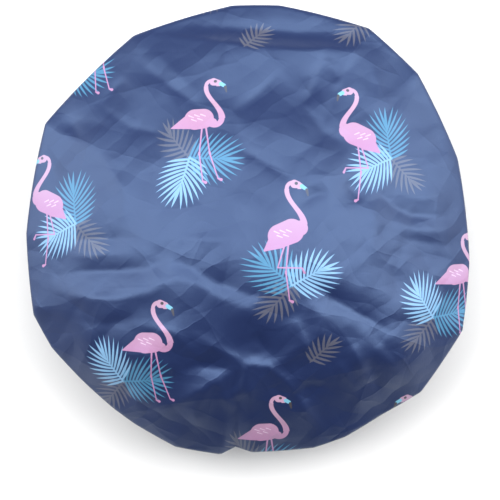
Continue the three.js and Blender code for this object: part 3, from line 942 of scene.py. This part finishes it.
def print_colour(tree):
    """The printed cloth's colour, and the place on the flat cloth in millimetres."""
    middle = 0.5 * FLAT_SPAN / MM
    flat = place_on_cloth(tree).vector("SUBTRACT", (middle, middle, 0))
    tile = turned(flat, TILE_TURN, back=True)
    half = (TILE / 2, TILE / 2, 1)
    frond = frond_group()

    def in_tile(spot):
        """The way from the nearest repeat of a spot of the tile."""
        centre = (spot[0], spot[1], 0)
        return tile.vector("SUBTRACT", centre).vector("WRAP", half, tuple(-side for side in half))

    centre_turned = Matrix.Rotation(-TILE_TURN, 2) @ Vector(CLUSTER_CENTRE)
    nearest = None
    for spot, facing, raised, foot, directions in CLUSTERS:
        place = in_tile(Vector(spot) + centre_turned)
        distance = place.vector("LENGTH", output=1)
        kind = (facing, raised, 0)
        foot = (*foot, 0)
        fronds = tuple(math.radians(angle) for angle in directions)
        if nearest is None:
            nearest = distance
            local, kinds, feet, angles = place, kind, foot, fronds
            continue
        closer = distance.math("LESS_THAN", nearest)
        nearest = nearest.least(distance)
        local = mixed(closer, local, place, "VECTOR")
        kinds = mixed(closer, kinds, kind, "VECTOR")
        feet = mixed(closer, feet, foot, "VECTOR")
        angles = mixed(closer, angles, fronds, "VECTOR")

    upright = turned(local, TILE_TURN)
    facing, raised = axes(kinds)
    flip = tree.nodes.new("ShaderNodeCombineXYZ")
    connect(tree, flip.inputs, (facing, 1.0, 1.0))
    mirror = Number(tree, flip.outputs[0])
    bird_place = upright.vector("ADD", (*CLUSTER_CENTRE, 0)).vector("MULTIPLY", mirror)
    foot = bird_place.vector("SUBTRACT", feet)
    split = tree.nodes.new("ShaderNodeSeparateXYZ")
    connect(tree, split.inputs, (angles,))
    blue_turn, pale_turn, grey_turn = [Number(tree, socket) for socket in split.outputs]

    lone = turned(turned(in_tile(LONE_FROND), TILE_TURN), LONE_FROND_TURN, back=True)
    lone = use_group(frond, lone, *SMALL_FROND)[0]
    colour = mixed(ink(lone), NAVY, GREY)
    for turn, form, paint in (
        (grey_turn, GREY_FROND, GREY),
        (blue_turn, BLUE_FROND, MID_BLUE),
        (pale_turn, PALE_FROND, PALE_BLUE),
    ):
        distance = use_group(frond, turned(foot, turn, back=True), *form)[0]
        colour = mixed(ink(distance), colour, paint)
    body, paler, bill, dark, feathers = use_group(bird_group(), bird_place, raised)
    colour = mixed(body, colour, mixed(paler, PINK, PALE_PINK))
    for cover, paint in ((feathers, WHITE), (bill, BILL_BLUE), (dark, BROWN)):
        colour = mixed(cover, colour, paint)
    return colour, flat


# Materials


def new_material(name):
    """A material with its node tree and its shader."""
    material = bpy.data.materials.new(name)
    material.use_nodes = True
    return material, material.node_tree, material.node_tree.nodes["Principled BSDF"]


def noise(tree, place, scale, detail=2.0, stretch=None, roughness=0.5):
    """A noise texture's value, with its scale in cells per unit of place."""
    if stretch is not None:
        place = place.vector("MULTIPLY", stretch)
    node = tree.nodes.new("ShaderNodeTexNoise")
    node.inputs["Scale"].default_value = scale
    node.inputs["Detail"].default_value = detail
    node.inputs["Roughness"].default_value = roughness
    connect(tree, (node.inputs["Vector"],), (place,))
    return Number(tree, node.outputs[0])


def waves(tree, place, direction, spacing, profile="SIN", bend=0.0):
    """Bands across a direction, at a spacing in millimetres, bent by noise where bend isn't 0. At scale 1
    a Wave texture has 20 radians of its wave to a unit of place."""
    node = tree.nodes.new("ShaderNodeTexWave")
    node.bands_direction = direction
    node.wave_profile = profile
    node.inputs["Scale"].default_value = 2 * math.pi / (20 * spacing)
    node.inputs["Distortion"].default_value = bend
    node.inputs["Detail"].default_value = 1.0
    node.inputs["Detail Scale"].default_value = 3.0
    connect(tree, (node.inputs["Vector"],), (place,))
    return Number(tree, node.outputs[1])


def pressed_creases(tree, flat, rows):
    """Flat facets that meet in sharp lines, each with a fine pinched crest, in patches only. Each row is
    a direction, a spacing, a height and a patch size."""
    total = None
    for number, (angle, spacing, height, patch_size) in enumerate(rows):
        # each row reads another part of the noise
        place = turned(flat.vector("ADD", (number * 371, number * 197, 0)), angle)
        folds = waves(tree, place, "X", spacing, "TRI", 1.5)
        pinch = folds.math("MULTIPLY_ADD", 12, -11, clamp=True)
        patch = noise(tree, place, 1 / patch_size, 0.0).math("MULTIPLY_ADD", 5, -2.1, clamp=True)
        folds = pinch.times_plus(0.05, folds) * patch * height
        total = folds if total is None else total + folds
    return total


def surface(tree, shader, colour, height):
    """Gives a shader its colour and its relief, whose height is in millimetres."""
    node = tree.nodes.new("ShaderNodeBump")
    node.inputs["Distance"].default_value = MM
    connect(tree, (node.inputs["Height"],), (height,))
    relief = Number(tree, node.outputs[0])
    connect(tree, (shader.inputs["Base Color"], shader.inputs["Normal"]), (colour, relief))


def printed_cloth():
    """Navy polyester satin with its print, its yarns and its pressed creases."""
    material, tree, shader = new_material("printed_cloth")
    colour, flat = print_colour(tree)
    shader.inputs["Roughness"].default_value = 0.46
    shader.inputs["Specular IOR Level"].default_value = 1.0
    shader.inputs["Specular Tint"].default_value = (0.42, 0.62, 1.0, 1)
    warp = noise(tree, flat, 1.0, 1.0, stretch=(1.6, 0.10, 0))
    weft = noise(tree, flat, 1.0, 1.0, stretch=(0.10, 1.6, 0))
    # the cloth is slack on the cap's lower side, and its creases stand higher there
    slack = axes(flat)[1].math("MULTIPLY_ADD", -1 / 150, 0.2, clamp=True)
    creases = pressed_creases(tree, flat, CLOTH_CREASES) * slack.times_plus(0.8, 1)
    crinkle = noise(tree, flat, 0.1, 2.0)
    surface(tree, shader, colour, warp * 0.04 + weft * 0.025 + crinkle * 0.12 + creases)
    return material


def place_on_cloth(tree):
    """The place on the flat cloth, in millimetres."""
    uv = tree.nodes.new("ShaderNodeUVMap")
    uv.uv_map = "cloth"
    size = FLAT_SPAN / MM
    return Number(tree, uv.outputs[0]).vector("MULTIPLY", (size, size, 0))


def place_in_object(tree):
    """The place in the object, in millimetres."""
    texture = tree.nodes.new("ShaderNodeTexCoord")
    return Number(tree, texture.outputs["Object"]).vector("MULTIPLY", (1 / MM, 1 / MM, 1 / MM))


def lining_film_material():
    """Milky waterproof film with soft creases."""
    material, tree, shader = new_material("lining_film")
    flat = place_on_cloth(tree)
    cloud = noise(tree, flat, 0.012, 2.0)
    colour = mixed(cloud, (0.60, 0.64, 0.72, 1), (0.74, 0.77, 0.83, 1))
    shader.inputs["Roughness"].default_value = 0.32
    shader.inputs["Specular IOR Level"].default_value = 0.55
    shader.inputs["Subsurface Weight"].default_value = 0.15
    shader.inputs["Subsurface Radius"].default_value = (0.002, 0.002, 0.002)
    creases = noise(tree, flat, 0.05, 4.0, roughness=0.6)
    fine = noise(tree, flat, 0.35, 2.0)
    surface(tree, shader, colour, creases * 1.6 + fine * 0.12)
    return material


def casing_cloth():
    """Plain navy tape with a visible weave."""
    material, tree, shader = new_material("casing_cloth")
    flat = place_on_cloth(tree)
    weave = waves(tree, flat, "X", 0.5) * waves(tree, flat, "Y", 0.5)
    worn = noise(tree, flat, 0.25, 3.0)
    shade = weave.times_plus(0.5, worn * 0.5)
    colour = mixed(shade, (0.010, 0.018, 0.062, 1), (0.026, 0.044, 0.13, 1))
    shader.inputs["Roughness"].default_value = 0.55
    shader.inputs["Sheen Weight"].default_value = 0.15
    shader.inputs["Sheen Roughness"].default_value = 0.5
    shader.inputs["Sheen Tint"].default_value = (0.5, 0.6, 1.0, 1)
    surface(tree, shader, colour, weave * 0.12 + worn * 0.3)
    return material


def elastic_yarn():
    """White woven elastic: ribs along it, and the rubber's ripple across it."""
    material, tree, shader = new_material("elastic_yarn")
    place = place_in_object(tree)
    ribs = waves(tree, place, "Z", 1.1)
    ripple = noise(tree, place, 1.3, 2.0, stretch=(1, 1, 0.3))
    shade = ribs.times_plus(0.6, ripple * 0.4)
    colour = mixed(shade, (0.66, 0.66, 0.64, 1), (0.86, 0.86, 0.84, 1))
    shader.inputs["Roughness"].default_value = 0.8
    surface(tree, shader, colour, ribs * 0.2 + ripple * 0.15)
    return material


def sewing_thread():
    """Navy polyester thread with the twist of its plies."""
    material, tree, shader = new_material("sewing_thread")
    place = place_in_object(tree)
    twist = waves(tree, place, "DIAGONAL", 0.35)
    colour = mixed(twist, (0.014, 0.022, 0.07, 1), (0.035, 0.055, 0.15, 1))
    shader.inputs["Roughness"].default_value = 0.45
    shader.inputs["Sheen Weight"].default_value = 0.2
    surface(tree, shader, colour, twist * 0.05)
    return material


def floor_paint():
    """Plain pale paint for the stage's floor."""
    material, _, shader = new_material("floor_paint")
    shader.inputs["Base Color"].default_value = (0.72, 0.72, 0.72, 1)
    shader.inputs["Roughness"].default_value = 0.9
    return material


# Pieces

bpy.ops.object.select_all(action="DESELECT")
thread = sewing_thread()

shell = cloth_layer("shell_cloth", 0, SHELL_THICKNESS, printed_cloth())
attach(shell, "root")
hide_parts("outer_shell")

lining = cloth_layer("lining_film", LINING_INSET, LINING_THICKNESS, lining_film_material())
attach(lining, "root")
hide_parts("inner_lining")

tape = casing_tape(casing_cloth())
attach(tape, "root")
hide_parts("hem_casing")

for row_name, row_side, node in (
    ("needle_stitches", 1, "hem_needle_thread"),
    ("bobbin_stitches", -1, "hem_bobbin_thread"),
):
    row = stitch_row(row_name, row_side, thread)
    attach(row, "root")
    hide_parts(node)

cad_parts["elastic_band"].material_slots[0].material = elastic_yarn()
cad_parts["elastic_join_thread"].material_slots[0].material = thread

# Stage, lights and camera. PIXEL is what one pixel of the picture spans at the cap's fold.

PIXEL = 0.843 * MM
FRAME_PIXELS = 500
CAMERA_DISTANCE = 1.6
CAMERA_PIXELS = (2, -20)
LIGHTS_AIM = Vector((0, 0, 0.1))
SOFTBOXES = [
    # name, place, width and height, watts
    ("key_softbox", (0, 0.86, 2.03), (2.4, 1.85), 56),
    ("left_softbox", (-1.6, 0.4, 1.4), (1.4, 2.8), 64),
    ("right_softbox", (1.6, 0.5, 1.4), (1.4, 2.2), 59),
]
WORLD_STRENGTH = 0.08


def stage():
    """A pale floor under a white, faintly lit world."""
    bpy.ops.mesh.primitive_plane_add(size=8, location=(0, 0, 0))
    floor = bpy.context.object
    floor.name = "floor"
    floor.data.materials.append(floor_paint())
    world = bpy.data.worlds.new("studio")
    world.use_nodes = True
    background = world.node_tree.nodes["Background"]
    background.inputs["Color"].default_value = (1, 1, 1, 1)
    background.inputs["Strength"].default_value = WORLD_STRENGTH
    bpy.context.scene.world = world


def softbox(name, place, size, watts):
    """A soft rectangular light that faces the cap."""
    light = bpy.data.lights.new(name, "AREA")
    light.shape = "RECTANGLE"
    light.size, light.size_y = size
    light.energy = watts
    lamp = bpy.data.objects.new(name, light)
    lamp.location = place
    lamp.rotation_euler = (LIGHTS_AIM - Vector(place)).to_track_quat("-Z", "Y").to_euler()
    bpy.context.scene.collection.objects.link(lamp)


def camera():
    """A camera that looks straight down at the crown, as the picture does."""
    view = bpy.data.cameras.new("camera")
    view.sensor_width = 36
    view.sensor_fit = "HORIZONTAL"
    width = PIXEL * FRAME_PIXELS
    view.lens = view.sensor_width * CAMERA_DISTANCE / width
    eye = bpy.data.objects.new("camera", view)
    x, y = [count * PIXEL for count in CAMERA_PIXELS]
    eye.location = (x, y, FOLD_HEIGHT + CAMERA_DISTANCE)
    bpy.context.scene.collection.objects.link(eye)
    bpy.context.scene.camera = eye


bpy.ops.object.select_all(action="DESELECT")
stage()
for row in SOFTBOXES:
    softbox(*row)
camera()
bpy.context.scene.view_settings.view_transform = "Standard"
